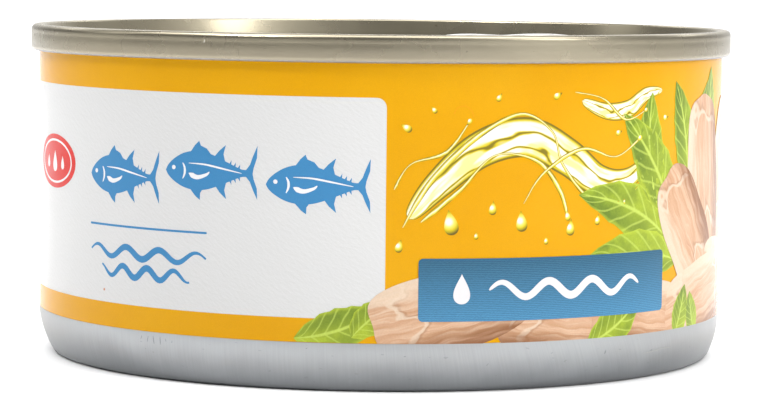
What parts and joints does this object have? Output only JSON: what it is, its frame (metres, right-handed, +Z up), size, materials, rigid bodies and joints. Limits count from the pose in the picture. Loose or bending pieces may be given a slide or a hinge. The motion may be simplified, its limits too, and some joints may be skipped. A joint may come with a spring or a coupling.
{
  "type": "tuna can",
  "caption": "Shut low round food can: drawn metal body with a bare curved foot, printed wrap, double-seamed easy-open lid and ring-pull tab.",
  "frame": {"origin": "centre of the base, on the surface that the can stands on", "axes": "+Z up along the can's axis, -Y towards the side that the picture shows"},
  "size_m": [0.086, 0.086, 0.0399],
  "materials": {
    "body_metal": "bare drawn tinplate with faint upright draw lines",
    "printed_wrap": "glossy print in warm yellow with a matt white panel and plain pictures",
    "lid_metal": "lacquered sheet metal, satin champagne grey with fine scuffs",
    "tab_metal": "smooth pressed aluminium"
  },
  "bodies": {
    "root": {"can_body": "body_metal", "label": "printed_wrap", "lid": "lid_metal", "pull_tab": "tab_metal"}
  },
  "joints": []
}
